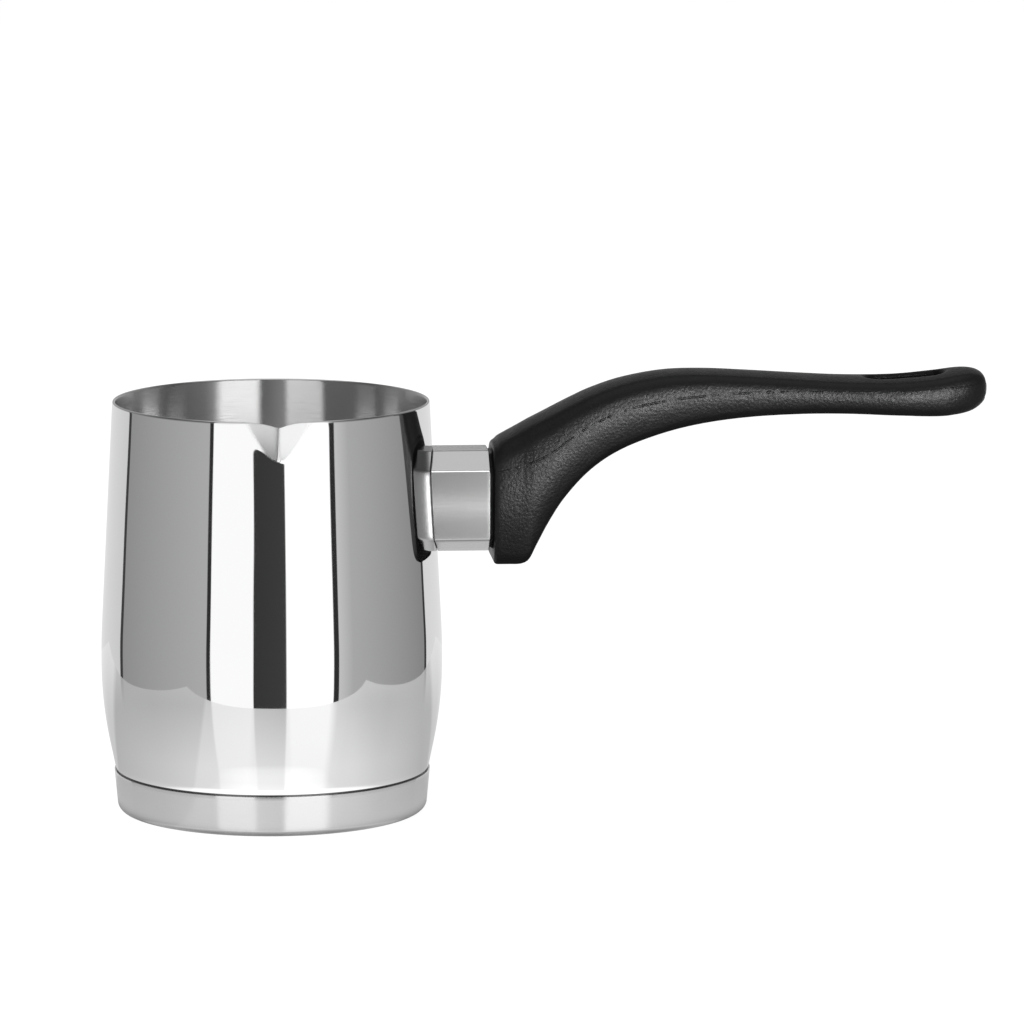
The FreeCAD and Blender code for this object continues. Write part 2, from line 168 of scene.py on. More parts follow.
def pull_lip(x, y, z):
    """Moves a point of the shell with the pouring lip, which is pinched out towards -Y."""
    if y > 0 or z < POT_HEIGHT - LIP_DEPTH - 1:
        return x, y, z
    bulge = lip_bulge(x, z)
    near_rim = max(0.0, 1 - (POT_HEIGHT - z) / LIP_DEPTH)
    return x, y - bulge, z - LIP_DROP * (bulge / LIP_REACH) * near_rim


def arc(centre, radius, start, end, steps):
    """Points of an arc in the profile plane, angles in radians above the outward direction."""
    points = []
    for step in range(steps + 1):
        angle = start + (end - start) * step / steps
        points.append((centre[0] + radius * math.cos(angle), centre[1] + radius * math.sin(angle)))
    return points


def line(start, end, step):
    """Points of a straight line, evenly spaced by about step."""
    count = max(1, round(math.dist(start, end) / step))
    return [
        (start[0] + (end[0] - start[0]) * i / count, start[1] + (end[1] - start[1]) * i / count)
        for i in range(count + 1)
    ]


def joined(*runs):
    """One list of points from several runs, without repeats where they meet."""
    points = []
    for run in runs:
        for point in run:
            if not points or math.dist(point, points[-1]) > 1e-6:
                points.append(point)
    return points


def value_at(points, at):
    """The value at a place between (place, value) points."""
    for (start, low), (end, high) in zip(points, points[1:]):
        if start <= at <= end:
            return low + (high - low) * (at - start) / (end - start)
    return points[-1][1]


def wall_profile(inset, lip_step, wall_step):
    """The shell's wall from the floor's edge up to the rim, moved inwards by inset."""
    upper_r, lower_r = UPPER_ARC_R - inset, LOWER_ARC_R - inset
    upper_centre = (BELLY_R - UPPER_ARC_R, BELLY_TOP_Z)
    lower_centre = (BELLY_R - LOWER_ARC_R, BELLY_FOOT_Z)
    upper = arc(upper_centre, upper_r, 0, UPPER_LEAN, 6)
    lower = arc(lower_centre, lower_r, -LOWER_LEAN, 0, 14)
    lip_foot_z = POT_HEIGHT - LIP_DEPTH - 1
    slope = math.tan(UPPER_LEAN)
    foot_r = upper[-1][0] - (lip_foot_z - upper[-1][1]) * slope
    lip_foot = (foot_r, lip_foot_z)
    rim_z = POT_HEIGHT - SHEET / 2
    rim = (foot_r - (rim_z - lip_foot_z) * slope, rim_z)

    corner_r = FLOOR_CORNER_R - inset
    corner_z = FLOOR_Z + inset + corner_r
    drop = (corner_z - lower[0][1]) * math.sin(LOWER_LEAN)
    corner = (lower[0][0] + (drop - corner_r) / math.cos(LOWER_LEAN), corner_z)
    rounding = arc(corner, corner_r, -math.pi / 2, -LOWER_LEAN, 8)
    return joined(
        rounding,
        line(rounding[-1], lower[0], wall_step),
        lower,
        upper,
        line(upper[-1], lip_foot, wall_step),
        line(lip_foot, rim, lip_step),
    )


def with_joint_groove(profile):
    """The outer wall's profile with the groove above the base cap turned into it."""
    radii = [(z, radius) for radius, z in profile]
    edge = 0.08
    below = [p for p in profile if p[1] < JOINT_FOOT_Z]
    above = [p for p in profile if p[1] > JOINT_TOP_Z + edge]
    top_r = value_at(radii, JOINT_TOP_Z)
    groove = [
        (value_at(radii, JOINT_FOOT_Z), JOINT_FOOT_Z),
        (JOINT_R, JOINT_FOOT_Z),
        (JOINT_R, JOINT_TOP_Z),
        (top_r - edge, JOINT_TOP_Z),
        (top_r - edge * 0.3, JOINT_TOP_Z + edge * 0.3),
        (top_r, JOINT_TOP_Z + edge),
    ]
    return below + groove + above


def lip_angles(count):
    """Angles round the pot, closer together at the pouring lip."""
    crowding = 0.8
    turns = [2 * math.pi * i / count for i in range(count)]
    return [-math.pi / 2 + turn - crowding * math.sin(turn) for turn in turns]


def even_angles(count):
    """Angles evenly spaced round a circle."""
    return [2 * math.pi * i / count for i in range(count)]


def lathe(name, profile, angles, move=None):
    """A closed solid turned from a profile that starts and ends on the pot's axis."""
    ring_points = profile[1:-1]
    count = len(angles)
    verts = [(0.0, 0.0, profile[0][1] * MM)]
    for radius, height in ring_points:
        for angle in angles:
            point = (radius * math.cos(angle), radius * math.sin(angle), height)
            if move:
                point = move(*point)
            verts.append(tuple(value * MM for value in point))
    verts.append((0.0, 0.0, profile[-1][1] * MM))
    faces = []
    last = len(verts) - 1
    for i in range(count):
        j = (i + 1) % count
        faces.append((0, 1 + j, 1 + i))
        for ring in range(len(ring_points) - 1):
            low, high = 1 + ring * count, 1 + (ring + 1) * count
            faces.append((low + i, low + j, high + j, high + i))
        top = 1 + (len(ring_points) - 1) * count
        faces.append((top + i, top + j, last))
    return new_mesh(name, verts, faces)


def new_mesh(name, verts, faces):
    """A smooth-shaded mesh object in the scene."""
    mesh = bpy.data.meshes.new(name)
    mesh.from_pydata(verts, [], faces)
    mesh.update()
    mesh.polygons.foreach_set("use_smooth", [True] * len(mesh.polygons))
    piece = bpy.data.objects.new(name, mesh)
    bpy.context.scene.collection.objects.link(piece)
    return piece


def sharpen(piece, degrees):
    """Marks the edges sharper than an angle, so that they stay crisp in smooth shading."""
    piece.data.set_sharp_from_angle(angle=math.radians(degrees))


def pot_shell():
    """The mirror-polished shell with its round-edged rim and pouring lip, brushed inside."""
    outer = with_joint_groove(wall_profile(0, 0.34, 1.7))
    inner = wall_profile(SHEET, 0.34, 2.6)
    rim_centre = ((outer[-1][0] + inner[-1][0]) / 2, outer[-1][1])
    rim = arc(rim_centre, SHEET / 2, 0, math.pi, 8)
    profile = joined(
        line((0, FLOOR_Z), outer[0], 6),
        outer,
        rim[1:-1],
        list(reversed(inner)),
        line(inner[0], (0, FLOOR_Z + SHEET), 4),
    )
    piece = lathe("pot_shell_polished", profile, lip_angles(384), pull_lip)
    sharpen(piece, 50)
    return piece


def base_cap():
    """The brushed cap with a rounded foot, a stamped ring underneath and a fine rolled rim."""
    corner = (CAP_FOOT_R - CAP_CORNER_R, CAP_CORNER_R)
    rim_edge = 0.16
    side = line((CAP_FOOT_R, CAP_CORNER_R), (CAP_TOP_R, JOINT_FOOT_Z - rim_edge), 1.0)
    rim = arc((CAP_TOP_R - rim_edge, JOINT_FOOT_Z - rim_edge), rim_edge, 0, math.pi / 2, 4)
    groove_z = CAP_GROOVE_DEPTH - CAP_GROOVE_CURVE
    sides = math.pi - CAP_GROOVE_EDGE, CAP_GROOVE_EDGE
    groove = arc((CAP_GROOVE_R, groove_z), CAP_GROOVE_CURVE, *sides, 8)
    inner_corner_r = CAP_CORNER_R - CAP_SHEET
    inside = joined(
        [(CAP_TOP_R - CAP_SHEET, JOINT_FOOT_Z)],
        [(CAP_FOOT_R - CAP_SHEET, CAP_CORNER_R)],
        arc(corner, inner_corner_r, 0, -math.pi / 2, 4),
        [(0, CAP_SHEET)],
    )
    profile = joined(
        line((0, 0), groove[0], 3),
        groove,
        line(groove[-1], (corner[0], 0), 3),
        arc(corner, CAP_CORNER_R, -math.pi / 2, 0, 8),
        side,
        rim,
        inside,
    )
    piece = lathe("base_cap_brushed", profile, even_angles(288))
    sharpen(piece, 50)
    return piece


def rounded_corners(points, radius, steps):
    """A closed outline with each corner of a convex polygon rounded."""
    outline = []
    count = len(points)
    for i, corner in enumerate(points):
        before, after = Vector(points[i - 1]), Vector(points[(i + 1) % count])
        corner = Vector(corner)
        to_before, to_after = (before - corner).normalized(), (after - corner).normalized()
        half = to_before.angle(to_after) / 2
        reach = radius / math.tan(half)
        centre = corner + (to_before + to_after).normalized() * radius / math.sin(half)
        start = corner + to_before * reach - centre
        end = corner + to_after * reach - centre
        for step in range(steps + 1):
            outline.append(centre + start.slerp(end, step / steps))
    return outline


def filled_in(outline, spacing):
    """The outline with points added where they are further apart than spacing."""
    dense = []
    for i, point in enumerate(outline):
        following = outline[(i + 1) % len(outline)]
        parts = max(1, math.ceil((following - point).length / spacing))
        dense += [point.lerp(following, part / parts) for part in range(parts)]
    return dense


def guard_outline():
    """The flame guard's outline as (y, z) points in mm, with soft corners and full sides."""
    high, low = GUARD_TOP_Z - GUARD_TOP_BEVEL, GUARD_BOTTOM_Z + GUARD_BOTTOM_BEVEL
    right = [
        (GUARD_TOP_FLAT, GUARD_TOP_Z),
        (GUARD_HALF_WIDTH, high),
        (GUARD_HALF_WIDTH, low),
        (GUARD_BOTTOM_FLAT, GUARD_BOTTOM_Z),
    ]
    corners = right + [(-y, z) for y, z in reversed(right)]
    outline = filled_in(rounded_corners(corners, 0.9, 5), 1.0)
    middle, half = (high + low) / 2, (high - low) / 2
    full = []
    for y, z in outline:
        lift = max(0.0, 1 - ((z - middle) / half) ** 2) if abs(y) > GUARD_HALF_WIDTH - 1 else 0
        full.append(Vector((y + math.copysign(GUARD_SIDE_BULGE * lift, y), z)))
    return full


def wall_radius(z):
    """The shell's outer radius at a height on its straight upper wall."""
    start = BELLY_R - UPPER_ARC_R * (1 - math.cos(UPPER_LEAN))
    start_z = BELLY_TOP_Z + UPPER_ARC_R * math.sin(UPPER_LEAN)
    return start - (z - start_z) * math.tan(UPPER_LEAN)


def flame_guard():
    """The satin tube between wall and handle, with a rounded end."""
    outline = guard_outline()
    centre = Vector((0.0, SCREW_Z))
    lip = 0.35
    rings = []

    def shrunk(point, inset):
        return point - (point - centre).normalized() * inset

    def at_wall(point, gap):
        return math.sqrt(wall_radius(point.y) ** 2 - point.x ** 2) + gap

    outside_ends = [0.0, 0.12, 0.2, 0.4, 0.6, 0.8, 0.95]
    rings.append([(at_wall(p, GUARD_WALL_GAP), shrunk(p, 0.2)) for p in outline])
    for share in outside_ends:
        ring = []
        for p in outline:
            start = at_wall(p, GUARD_WALL_GAP + 0.2)
            ring.append((start + (GUARD_END_X - lip - start) * share, p))
        rings.append(ring)
    for step in range(6):
        angle = math.pi / 2 * step / 5
        x = GUARD_END_X - lip + lip * math.sin(angle)
        rings.append([(x, shrunk(p, lip * (1 - math.cos(angle)))) for p in outline])
    rings.append([(GUARD_END_X, shrunk(p, GUARD_SHEET)) for p in outline])
    inside = [shrunk(p, GUARD_SHEET) for p in outline]
    rings.append([(at_wall(p, GUARD_WALL_GAP), p) for p in inside])
    return closed_tube("flame_guard_satin", rings, len(outline))


def closed_tube(name, rings, count):
    """A ring-shaped solid through rings of (x, (y, z)) points, the last joined to the first."""
    verts = [(x * MM, p.x * MM, p.y * MM) for ring in rings for x, p in ring]
    faces = []
    for ring in range(len(rings)):
        here, there = ring * count, ((ring + 1) % len(rings)) * count
        for i in range(count):
            j = (i + 1) % count
            faces.append((here + i, here + j, there + j, there + i))
    piece = new_mesh(name, verts, faces)
    tidy_normals(piece)
    sharpen(piece, 40)
    return piece


def tidy_normals(piece):
    """Turns every face outwards."""
    mesh = bmesh.new()
    mesh.from_mesh(piece.data)
    bmesh.ops.recalc_face_normals(mesh, faces=mesh.faces)
    mesh.to_mesh(piece.data)
    mesh.free()


def smooth_between(values, steps):
    """Values along a smooth curve through a list of equally long rows (Catmull-Rom)."""
    curve = []
    last = len(values) - 1
    for i in range(last):
        before, start = values[max(i - 1, 0)], values[i]
        end, after = values[i + 1], values[min(i + 2, last)]
        for step in range(steps):
            t = step / steps
            row = []
            for a, b, c, d in zip(before, start, end, after):
                row.append(0.5 * (2 * b + (c - a) * t + (2 * a - 5 * b + 4 * c - d) * t ** 2
                                  + (3 * b - a - 3 * c + d) * t ** 3))
            curve.append(row)
    curve.append(list(values[last]))
    return curve


def handle_section(top_x, top_z, under_x, under_z, half_width, shoulder_r, corner_r):
    """One outline of the handle in mm: crowned top, round shoulders, full sides, flat underside."""
    top, under = Vector((top_x, 0, top_z)), Vector((under_x, 0, under_z))
    half_up = (top - under).length / 2
    crown, full = HANDLE_CROWN_ANGLE, HANDLE_SIDE_ANGLE
    shoulder_y = half_width - shoulder_r * math.cos(full)
    corner_y = half_width - corner_r * math.cos(full)
    crown_edge = shoulder_y + shoulder_r * math.sin(crown)
    crown_rise = math.tan(crown / 2) * crown_edge
    shoulder = half_up - crown_rise - shoulder_r * math.cos(crown)
    corner = corner_r - half_up

    right = []
    for step in range(8):
        share = step / 8
        right.append((crown_edge * share, half_up - crown_rise * share ** 2))
    right += arc((shoulder_y, shoulder), shoulder_r, math.pi / 2 - crown, full, 10)
    high, low = right[-1][1], corner - corner_r * math.sin(full)
    bulge = math.tan(full / 2) * (high - low) / 2
    side_steps = 16
    for step in range(1, side_steps):
        share = step / side_steps
        right.append((half_width + bulge * 4 * share * (1 - share), high + (low - high) * share))
    right += arc((corner_y, corner), corner_r, -full, -math.pi / 2, 8)
    right += [(corner_y * (1 - step / 5), -half_up) for step in range(1, 5)]
    left = [(-y, z) for y, z in reversed(right[1:])]
    middle, up = (top + under) / 2, (top - under).normalized()
    return [middle + up * z + Vector((0, y, 0)) for y, z in right + [(0.0, -half_up)] + left]


def handle_sections():
    """All outlines of the handle from its root face to its rounded tip."""
    rows = smooth_between(HANDLE_STATIONS, HANDLE_STEPS)
    sections = [handle_section(*row) for row in rows]
    start = sections[0]
    inwards = Vector((HANDLE_EDGE_R, 0, 0))
    root = rounded_end(start, Vector((-1, 0, 0)), HANDLE_EDGE_R)
    root = [[point + inwards for point in section] for section in root]
    inner = [[point + inwards for point in start]]
    first_x = start[0].x + HANDLE_EDGE_R + 0.2
    kept = [section for section in sections[1:] if min(p.x for p in section) > first_x]
    along = (centroid(sections[-1]) - centroid(sections[-2])).normalized()
    tip = reversed(rounded_end(sections[-1], along, HANDLE_EDGE_R))
    tip = [[point - along * HANDLE_EDGE_R for point in section] for section in tip]
    return root + inner + kept[:-2] + tip


def centroid(points):
    """The mean of some points."""
    return sum(points, Vector()) / len(points)


def rounded_end(section, outwards, radius):
    """Outlines that round a section's edge off as it closes outwards, from the end to its start."""
    middle = centroid(section)
    rows = []
    for step in range(6):
        angle = math.pi / 2 * step / 6
        inset, reach = radius * (1 - math.sin(angle)), radius * math.cos(angle)
        row = []
        for point in section:
            inwards = middle - point
            row.append(point + inwards.normalized() * inset + outwards * reach)
        rows.append(row)
    return rows


def lofted(name, sections):
    """A closed solid through outlines with equally many points."""
    count = len(sections[0])
    verts = [tuple(p * MM) for section in sections for p in section]
    faces = [tuple(range(count))]
    for ring in range(len(sections) - 1):
        low, high = ring * count, (ring + 1) * count
        for i in range(count):
            j = (i + 1) % count
            faces.append((low + i, low + j, high + j, high + i))
    faces.append(tuple(range((len(sections) - 1) * count, len(sections) * count)))
    piece = new_mesh(name, verts, faces)
    tidy_normals(piece)
    return piece


def surface_z(rows, x, column):
    """The handle's height at x, from its top (column 1) or underside (column 3)."""
    return value_at([(row[column - 1], row[column]) for row in rows], x)


def slot_cutter():
    """The hanging slot's shape, with its mouths flared so that both lips come out round."""
    rows = smooth_between(HANDLE_STATIONS, HANDLE_STEPS)
    clear, steps = 3, 6
    levels = []
    for step in range(steps + 1):
        angle = math.pi / 2 * step / steps
        levels.append((SLOT_FLARE * (1 - math.sin(angle)), SLOT_FLARE * (1 - math.cos(angle))))

    def ring(widen, column, lift):
        return [Vector((x, y, surface_z(rows, x, column) + lift)) for x, y in stadium(widen)]

    rings = [ring(SLOT_FLARE, 1, clear)]
    rings += [ring(widen, 1, -SLOT_LIP_DROP - depth) for widen, depth in levels]
    rings += [ring(widen, 3, depth) for widen, depth in reversed(levels)]
    rings.append(ring(SLOT_FLARE, 3, -clear))
    return lofted("slot_cutter", rings)


def stadium(widen):
    """The slot's outline in plan, widened all round."""
    radius = SLOT_HALF_WIDTH + widen
    low, high = SLOT_START_X + SLOT_HALF_WIDTH, SLOT_END_X - SLOT_HALF_WIDTH
    points = arc((high, 0), radius, -math.pi / 2, math.pi / 2, 16)
    points += arc((low, 0), radius, math.pi / 2, 3 * math.pi / 2, 16)
    return points


def round_bar(name, radius, start_x, end_x):
    """A plain bar on the screw's axis, used to bore the handle."""
    rings = []
    for x in (start_x, end_x):
        rings.append([
            Vector((x, radius * math.cos(a), SCREW_Z + radius * math.sin(a)))
            for a in even_angles(48)
        ])
    return lofted(name, rings)


def spigot():
    """The short plug on the handle's root that fits inside the flame guard."""
    centre = Vector((0.0, SCREW_Z))
    inset = GUARD_SHEET + SPIGOT_CLEARANCE
    outline = [p - (p - centre).normalized() * inset for p in guard_outline()]
    start, end = GUARD_END_X - SPIGOT_LENGTH, HANDLE_STATIONS[0][0] + 2
    return lofted("spigot", [[Vector((x, p.x, p.y)) for p in outline] for x in (start, end)])


def use_modifier(piece, kind, **settings):
    """Adds a modifier to a piece and applies it at once."""
    modifier = piece.modifiers.new(kind.lower(), kind)
    for key, value in settings.items():
        setattr(modifier, key, value)
    ready = piece.evaluated_get(bpy.context.evaluated_depsgraph_get())
    mesh = bpy.data.meshes.new_from_object(ready)
    piece.modifiers.clear()
    old, piece.data = piece.data, mesh
    bpy.data.meshes.remove(old)


def cut_away(piece, cutter):
    """Cuts one closed solid out of another and removes the cutter."""
    use_modifier(piece, "BOOLEAN", operation="DIFFERENCE", object=cutter, solver="EXACT")
    bpy.data.objects.remove(cutter)


def handle():
    """The moulded grip: one smooth skin, with its screw hole and its round-lipped hanging slot."""
    piece = lofted("handle_moulding", handle_sections())
    use_modifier(piece, "BOOLEAN", operation="UNION", object=spigot(), solver="EXACT")
    bpy.data.objects.remove(bpy.data.objects["spigot"])
    cut_away(piece, slot_cutter())
    cut_away(piece, round_bar("screw_hole", SCREW_HOLE_R, 50, 70))
    cut_away(piece, round_bar("counterbore", COUNTERBORE_R, COUNTERBORE_START_X, 98))
    use_modifier(piece, "REMESH", mode="VOXEL", voxel_size=SKIN_VOXEL * MM, use_smooth_shade=True)
    use_modifier(piece, "SMOOTH", factor=0.5, iterations=6)
    piece.name = piece.data.name = "handle_moulding"
    return piece


# ---------------------------------------------------------------- materials

def metal(name, color, roughness, anisotropy=0.0):
    """A metal material, its shader node and its object coordinates."""
    material = bpy.data.materials.new(name)
    material.use_nodes = True
    tree = material.node_tree
    shader = tree.nodes["Principled BSDF"]
    shader.inputs["Base Color"].default_value = (*color, 1)
    shader.inputs["Metallic"].default_value = 1
    shader.inputs["Roughness"].default_value = roughness
    shader.inputs["Anisotropic"].default_value = anisotropy
    place = tree.nodes.new("ShaderNodeTexCoord")
    return material, tree, shader, place.outputs["Object"]


def noise(tree, place, scale, stretch=(1, 1, 1), detail=3.0, roughness=0.5):
    """Noise in object space; scale is in waves per metre, stretch multiplies it by axis."""
    mapping = tree.nodes.new("ShaderNodeMapping")
    mapping.inputs["Scale"].default_value = [scale * s for s in stretch]
    tree.links.new(place, mapping.inputs["Vector"])
    texture = tree.nodes.new("ShaderNodeTexNoise")
    texture.inputs["Scale"].default_value = 1
    texture.inputs["Detail"].default_value = detail
    texture.inputs["Roughness"].default_value = roughness
    tree.links.new(mapping.outputs["Vector"], texture.inputs["Vector"])
    return texture.outputs["Fac"]


def remap(tree, value, low, high, start=0.0, end=1.0):
    """A value from start..end mapped to low..high."""
    ranged = tree.nodes.new("ShaderNodeMapRange")
    ranged.inputs["From Min"].default_value = start
    ranged.inputs["From Max"].default_value = end
    ranged.inputs["To Min"].default_value = low
    ranged.inputs["To Max"].default_value = high
    tree.links.new(value, ranged.inputs["Value"])
    return ranged.outputs["Result"]


def bump(tree, height, distance, strength=1.0, normal=None):
    """A bump from a height, its distance in metres."""
    made = tree.nodes.new("ShaderNodeBump")
    made.inputs["Distance"].default_value = distance
    made.inputs["Strength"].default_value = strength
    tree.links.new(height, made.inputs["Height"])
    if normal:
        tree.links.new(normal, made.inputs["Normal"])
    return made.outputs["Normal"]


def math_node(tree, operation, first, second=None):
    """A math node on sockets or numbers."""
    made = tree.nodes.new("ShaderNodeMath")
    made.operation = operation
    for socket, value in zip(made.inputs, (first, second)):
        if isinstance(value, (int, float)):
            socket.default_value = value
        elif value is not None:
            tree.links.new(value, socket)
    return made.outputs["Value"]


def blended(tree, first, second, share):
    """Two values added up, the first weighted 1 - share and the second weighted share."""
    parts = [math_node(tree, "MULTIPLY", first, 1 - share), math_node(tree, "MULTIPLY", second, share)]
    return math_node(tree, "ADD", *parts)


def round_place(tree, place):
    """Object coordinates turned into (turns round the axis, radius, height), for turned metal."""
    split = tree.nodes.new("ShaderNodeSeparateXYZ")
    tree.links.new(place, split.inputs["Vector"])
    x, y, z = split.outputs
    angle = math_node(tree, "ARCTAN2", y, x)
    squares = math_node(tree, "MULTIPLY", x, x), math_node(tree, "MULTIPLY", y, y)
    radius = math_node(tree, "SQRT", math_node(tree, "ADD", *squares))
    cylinder = tree.nodes.new("ShaderNodeCombineXYZ")
    for socket, value in zip(cylinder.inputs, (angle, radius, z)):
        tree.links.new(value, socket)
    return cylinder.outputs["Vector"]


def radial_tangent(tree, shader):
    """Brushing that runs round the pot's axis, so that highlights spread across it."""
    tangent = tree.nodes.new("ShaderNodeTangent")
    tangent.direction_type = "RADIAL"
    tangent.axis = "Z"
    tree.links.new(tangent.outputs["Tangent"], shader.inputs["Tangent"])
    shader.inputs["Anisotropic Rotation"].default_value = 0.25


def vector_node(tree, operation, first, second=None, amount=None):
    """A vector math node on sockets or triples."""
    made = tree.nodes.new("ShaderNodeVectorMath")
    made.operation = operation
    for socket, value in zip(made.inputs, (first, second)):
        if isinstance(value, tuple):
            socket.default_value = value
        elif value is not None:
            tree.links.new(value, socket)
    if amount is not None:
        tree.links.new(amount, made.inputs["Scale"])
    return made.outputs["Vector"]


def stretched_lip(tree, place):
    """Where the steel was stretched to pinch the lip: how much, and the direction it mirrors in.

    The stretched flanks are no longer polished flat, so they mirror less sharply, and more like the
    round wall beside them. A wall that is round has no stretched part.
    """
    surface = tree.nodes.new("ShaderNodeNewGeometry").outputs["Normal"]
    outwards = vector_node(tree, "NORMALIZE", vector_node(tree, "MULTIPLY", place, (1, 1, 0)))
    wall = vector_node(tree, "ADD", outwards, (0, 0, WALL_LEAN))
    turned = tree.nodes.new("ShaderNodeSeparateXYZ")
    tree.links.new(vector_node(tree, "CROSS_PRODUCT", surface, outwards), turned.inputs["Vector"])
    stretched = remap(tree, math_node(tree, "ABSOLUTE", turned.outputs["Z"]), 0, 1, 0.04, 0.2)
    share = math_node(tree, "MULTIPLY", stretched, LIP_FLANK_EASE)
    across = vector_node(tree, "SUBTRACT", wall, surface)
    eased = vector_node(tree, "ADD", surface, vector_node(tree, "SCALE", across, amount=share))
    return stretched, vector_node(tree, "NORMALIZE", eased)


def polished_steel():
    """Mirror-polished stainless steel, with a faint waviness and fine wipe marks."""
    material, tree, shader, place = metal("polished_steel", (0.87, 0.87, 0.875), 0.03)
    wipes = noise(tree, place, 260, (1, 1, 0.12), detail=4)
    smooth = remap(tree, wipes, 0.012, 0.05, 0.3, 0.75)
    stretched, facing = stretched_lip(tree, place)
    dull = math_node(tree, "MULTIPLY", stretched, LIP_FLANK_ROUGHNESS)
    tree.links.new(math_node(tree, "ADD", smooth, dull), shader.inputs["Roughness"])
    waves = noise(tree, place, 30, (1, 1, 0.6), detail=1)
    tree.links.new(bump(tree, waves, 0.0002, normal=facing), shader.inputs["Normal"])
    return material


def leaned_up(tree, amount):
    """The surface's own direction, leaned upwards like the lit flanks of fine level grooves."""
    surface = tree.nodes.new("ShaderNodeNewGeometry").outputs["Normal"]
    return vector_node(tree, "NORMALIZE", vector_node(tree, "ADD", surface, (0, 0, amount)))


def brushed_inside():
    """Steel brushed round and round, as inside the pot."""
    material, tree, shader, place = metal("brushed_inside", (0.8, 0.8, 0.8), 0.17, 1.0)
    radial_tangent(tree, shader)
    around = round_place(tree, place)
    lines = noise(tree, around, 1, (7, 900, 2600), detail=3, roughness=0.6)
    cloud = noise(tree, place, 90, detail=2)
    both = blended(tree, lines, cloud, 0.3)
    tree.links.new(remap(tree, both, 0.13, 0.2, 0.3, 0.7), shader.inputs["Roughness"])
    flanks = leaned_up(tree, INSIDE_LEAN)
    tree.links.new(bump(tree, lines, 0.00002, normal=flanks), shader.inputs["Normal"])
    return material


def seam_painted_shade():
    """Rougher, dark steel down inside the narrow joint above the base cap; its dark colour is painted
    shade for the joint.
    """
    # The dark base colour is painted shade: it stands for the shade down in the narrow joint.
    material, tree, shader, place = metal("seam_painted_shade", (0.2, 0.2, 0.2), 0.15)
    seam_mottle = noise(tree, place, 700, detail=4)
    tree.links.new(remap(tree, seam_mottle, 0.1, 0.3, 0.3, 0.7), shader.inputs["Roughness"])
    return material


def brushed_cap():
    """The base cap's fine circular brushing."""
    material, tree, shader, place = metal("brushed_cap", (0.86, 0.86, 0.86), 0.14, 0.95)
    radial_tangent(tree, shader)
    around = round_place(tree, place)
    lines = noise(tree, around, 1, (7, 2600, 3600), detail=3, roughness=0.6)
    cloud = noise(tree, place, 60, detail=3)
    both = blended(tree, lines, cloud, 0.4)
    tree.links.new(remap(tree, both, 0.1, 0.2, 0.3, 0.7), shader.inputs["Roughness"])
    tree.links.new(bump(tree, lines, 0.000012), shader.inputs["Normal"])
    return material


def satin_steel():
    """The flame guard's satin finish, rubbed along its length."""
    material, tree, shader, place = metal("satin_steel", (0.42, 0.42, 0.42), 0.22)
    lines = noise(tree, place, 1, (60, 2600, 2600), detail=3, roughness=0.6)
    tree.links.new(remap(tree, lines, 0.2, 0.24, 0.3, 0.7), shader.inputs["Roughness"])
    tree.links.new(bump(tree, lines, 0.000001), shader.inputs["Normal"])
    return material


def plain_metal(name, color, roughness, grain):
    """Unpolished metal for the pieces inside: mottled, with a fine grain."""
    material, tree, shader, place = metal(name, color, roughness)
    mottle = noise(tree, place, grain, detail=5, roughness=0.65)
    spread = remap(tree, mottle, roughness - 0.1, roughness + 0.12, 0.3, 0.7)
    tree.links.new(spread, shader.inputs["Roughness"])
    tree.links.new(bump(tree, mottle, 0.00002), shader.inputs["Normal"])
    ramp = tree.nodes.new("ShaderNodeMix")
    ramp.data_type = "RGBA"
    dark = [value * 0.82 for value in color]
    ramp.inputs["A"].default_value = (*dark, 1)
    ramp.inputs["B"].default_value = (*color, 1)
    tree.links.new(mottle, ramp.inputs["Factor"])
    tree.links.new(ramp.outputs["Result"], shader.inputs["Base Color"])
    return material


def parting_line():
    """The mould's parting line along each side of the handle, as points (x, z) in mm."""
    rows = smooth_between(HANDLE_STATIONS, HANDLE_STEPS)
    steps = 12
    points = []
    for step in range(steps + 1):
        x = PARTING_START_X + (PARTING_END_X - PARTING_START_X) * step / steps
        top, under = surface_z(rows, x, 1), surface_z(rows, x, 3)
        points.append((x, top - value_at(PARTING_DEPTH, x) * (top - under)))
    return points


def parting_height(tree, place):
    """How close a point is to the mould's parting line: 1 on the line, 0 away from it."""
    split = tree.nodes.new("ShaderNodeSeparateXYZ")
    tree.links.new(place, split.inputs["Vector"])
    x, _, z = split.outputs
    curve = tree.nodes.new("ShaderNodeFloatCurve")
    points = curve.mapping.curves[0].points
    low_x, high_x, low_z, high_z = 50.0, 190.0, 60.0, 120.0
    for number, (at_x, at_z) in enumerate(parting_line()):
        spot = ((at_x - low_x) / (high_x - low_x), (at_z - low_z) / (high_z - low_z))
        if number < 2:
            points[number].location = spot
        else:
            points.new(*spot)
    curve.mapping.update()
    tree.links.new(remap(tree, x, 0, 1, low_x * MM, high_x * MM), curve.inputs["Value"])
    line_z = remap(tree, curve.outputs["Value"], low_z * MM, high_z * MM)
    away = math_node(tree, "ABSOLUTE", math_node(tree, "SUBTRACT", z, line_z))
    worn = remap(tree, noise(tree, place, 420, detail=2), 0, 1, 0.42, 0.55)
    return math_node(tree, "MULTIPLY", remap(tree, away, 1, 0, 0.00008, 0.00032), worn)


